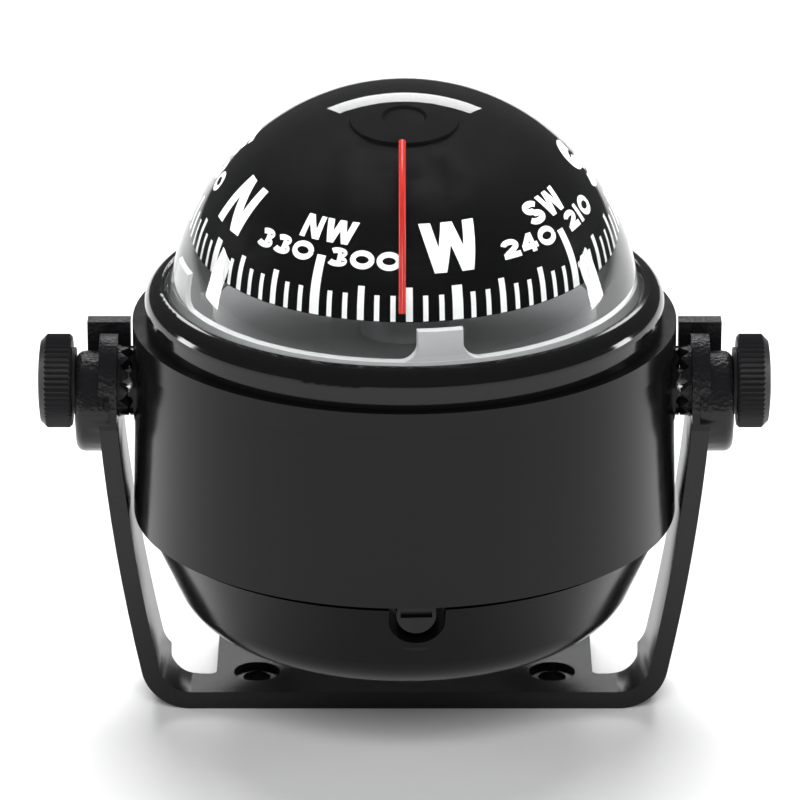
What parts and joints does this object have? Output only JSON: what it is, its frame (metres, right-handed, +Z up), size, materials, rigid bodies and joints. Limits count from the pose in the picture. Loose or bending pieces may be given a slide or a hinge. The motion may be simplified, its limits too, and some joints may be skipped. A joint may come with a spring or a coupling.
{
  "type": "bracket-mount ball compass",
  "caption": "Marine ball compass with a clear dome over a floating domed card, in a round housing that tilts in a U bracket held by thumb knobs.",
  "frame": {"origin": "centre of the base's underside, straight below the middle of the tilt axis", "axes": "+X along the tilt axis towards the right-hand knob, -Y towards the front of the compass, +Z up"},
  "size_m": [0.1092, 0.0812, 0.0958],
  "materials": {
    "bracket_plastic": "satin black moulded plastic",
    "housing_plastic": "satin black moulded plastic",
    "bezel_gloss": "gloss black",
    "knob_plastic": "fine matt black, knurled rim",
    "clear_dome": "clear polished acrylic",
    "card_black": "satin black with white printed scale",
    "float_grey": "light grey moulded plastic",
    "frame_white": "white moulded plastic",
    "chamber_plastic": "dark grey moulded plastic",
    "lubber_red": "translucent red",
    "seal_rubber": "black rubber",
    "jewel": "polished synthetic ruby",
    "brass": "turned",
    "steel": "stainless"
  },
  "bodies": {
    "bracket": {"bracket": "bracket_plastic", "left_washer": "knob_plastic", "right_washer": "knob_plastic"},
    "housing": {"housing_body": "housing_plastic", "bottom_cover": "housing_plastic", "cover_screws": "steel", "cover_seal": "seal_rubber", "left_thread_insert": "brass", "right_thread_insert": "brass", "bezel_ring": "bezel_gloss", "dome": "clear_dome", "dome_gasket": "seal_rubber", "chamber_base": "chamber_plastic", "chamber_screws": "steel", "diaphragm": "seal_rubber", "diaphragm_retainer": "chamber_plastic", "retainer_screws": "steel", "filler_plug": "brass", "filler_seal": "seal_rubber", "inner_frame": "frame_white", "pivot_post": "frame_white", "pivot_pin": "steel", "lubber_line": "lubber_red", "lubber_hanger": "clear_dome", "compensator_block": "chamber_plastic", "compensator_screws": "steel"},
    "jewel": {"pivot_jewel": "jewel"},
    "cup": {"jewel_cup": "brass"},
    "card": {"card": "card_black", "card_cap": "card_black", "card_float": "float_grey", "magnet_carrier": "float_grey", "card_magnets": "steel", "ballast_ring": "brass"},
    "front_adjuster": {"front_adjuster": "knob_plastic", "front_adjuster_magnets": "steel"},
    "side_adjuster": {"side_adjuster": "knob_plastic", "side_adjuster_magnets": "steel"},
    "left_knob": {"left_knob_head": "knob_plastic", "left_knob_screw": "steel"},
    "right_knob": {"right_knob_head": "knob_plastic", "right_knob_screw": "steel"}
  },
  "joints": [
    {"name": "housing_tilt", "type": "hinge", "parent": "bracket", "child": "housing", "pos_m": [0, 0, 0.05], "axis": [1, 0, 0], "range_deg": [-90, 90]},
    {"name": "card_pitch", "type": "hinge", "parent": "housing", "child": "jewel", "pos_m": [0, 0, 0.0608], "axis": [1, 0, 0], "range_deg": [-15, 15]},
    {"name": "card_roll", "type": "hinge", "parent": "jewel", "child": "cup", "pos_m": [0, 0, 0.0608], "axis": [0, 1, 0], "range_deg": [-15, 15]},
    {"name": "card_turn", "type": "hinge", "parent": "cup", "child": "card", "pos_m": [0, 0, 0.0608], "axis": [0, 0, 1], "continuous": true},
    {"name": "front_adjuster_turn", "type": "hinge", "parent": "housing", "child": "front_adjuster", "pos_m": [0, 0, 0.0271], "axis": [0.0489, -0.9988, 0], "range_deg": [-180, 180]},
    {"name": "side_adjuster_turn", "type": "hinge", "parent": "housing", "child": "side_adjuster", "pos_m": [0, 0, 0.0271], "axis": [0.9988, 0.0489, 0], "range_deg": [-180, 180]},
    {"name": "left_knob_turn", "type": "hinge", "parent": "bracket", "child": "left_knob", "pos_m": [0, 0, 0.05], "axis": [-1, 0, 0], "range_deg": [0, 720]},
    {"name": "right_knob_turn", "type": "hinge", "parent": "bracket", "child": "right_knob", "pos_m": [0, 0, 0.05], "axis": [1, 0, 0], "range_deg": [0, 720]}
  ]
}
